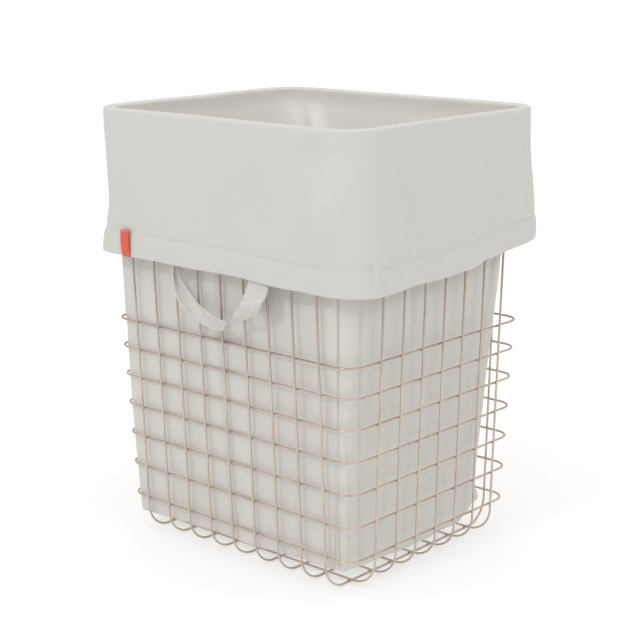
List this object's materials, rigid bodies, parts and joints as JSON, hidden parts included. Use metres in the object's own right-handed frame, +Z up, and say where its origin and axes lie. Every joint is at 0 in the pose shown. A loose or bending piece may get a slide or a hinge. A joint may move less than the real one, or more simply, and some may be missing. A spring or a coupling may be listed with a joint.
{
  "type": "laundry basket",
  "caption": "Rectangular laundry basket: an open cage of welded round wire with a lift-out cotton liner bag folded over its rim and a strap handle on each wide side.",
  "frame": {"origin": "middle of the base, on the plane that the lowest wires rest on", "axes": "+Z up, X along the wide faces, -Y out of the front wide face, +X out of the right narrow face"},
  "size_m": [0.4006, 0.3425, 0.5031],
  "materials": {
    "copper_wire": "satin rose copper lacquer on steel wire",
    "cotton_cloth": "matt plain-weave off-white cotton",
    "cotton_strap": "matt off-white cotton webbing",
    "woven_label": "woven orange-red tape, blank"
  },
  "bodies": {
    "cage": {"front_rear_wire_1": "copper_wire", "front_rear_wire_2": "copper_wire", "front_rear_wire_3": "copper_wire", "front_rear_wire_4": "copper_wire", "front_rear_wire_5": "copper_wire", "front_rear_wire_6": "copper_wire", "front_rear_wire_7": "copper_wire", "front_rear_wire_8": "copper_wire", "front_rear_wire_9": "copper_wire", "left_right_wire_1": "copper_wire", "left_right_wire_2": "copper_wire", "left_right_wire_3": "copper_wire", "left_right_wire_4": "copper_wire", "left_right_wire_5": "copper_wire", "left_right_wire_6": "copper_wire", "left_right_wire_7": "copper_wire", "ring_1": "copper_wire", "ring_2": "copper_wire", "ring_3": "copper_wire", "ring_4": "copper_wire", "ring_5": "copper_wire", "ring_6": "copper_wire", "ring_7": "copper_wire", "rim": "copper_wire"},
    "liner": {"liner_front_panel": "cotton_cloth", "liner_rear_panel": "cotton_cloth", "liner_base": "cotton_cloth", "front_handle_left_end": "cotton_strap", "front_handle_right_end": "cotton_strap", "rear_handle_left_end": "cotton_strap", "rear_handle_right_end": "cotton_strap", "label": "woven_label"},
    "front_handle": {"front_handle": "cotton_strap"},
    "rear_handle": {"rear_handle": "cotton_strap"}
  },
  "joints": [
    {"name": "liner_lift", "type": "slide", "parent": "cage", "child": "liner", "axis": [0, 0, 1], "range_m": [0, 0.5]},
    {"name": "front_handle_swing", "type": "hinge", "parent": "liner", "child": "front_handle", "pos_m": [0.009, -0.166, 0.336], "axis": [-1, 0, 0], "range_deg": [0, 120]},
    {"name": "rear_handle_swing", "type": "hinge", "parent": "liner", "child": "rear_handle", "pos_m": [0.009, 0.166, 0.336], "axis": [1, 0, 0], "range_deg": [0, 120]}
  ]
}
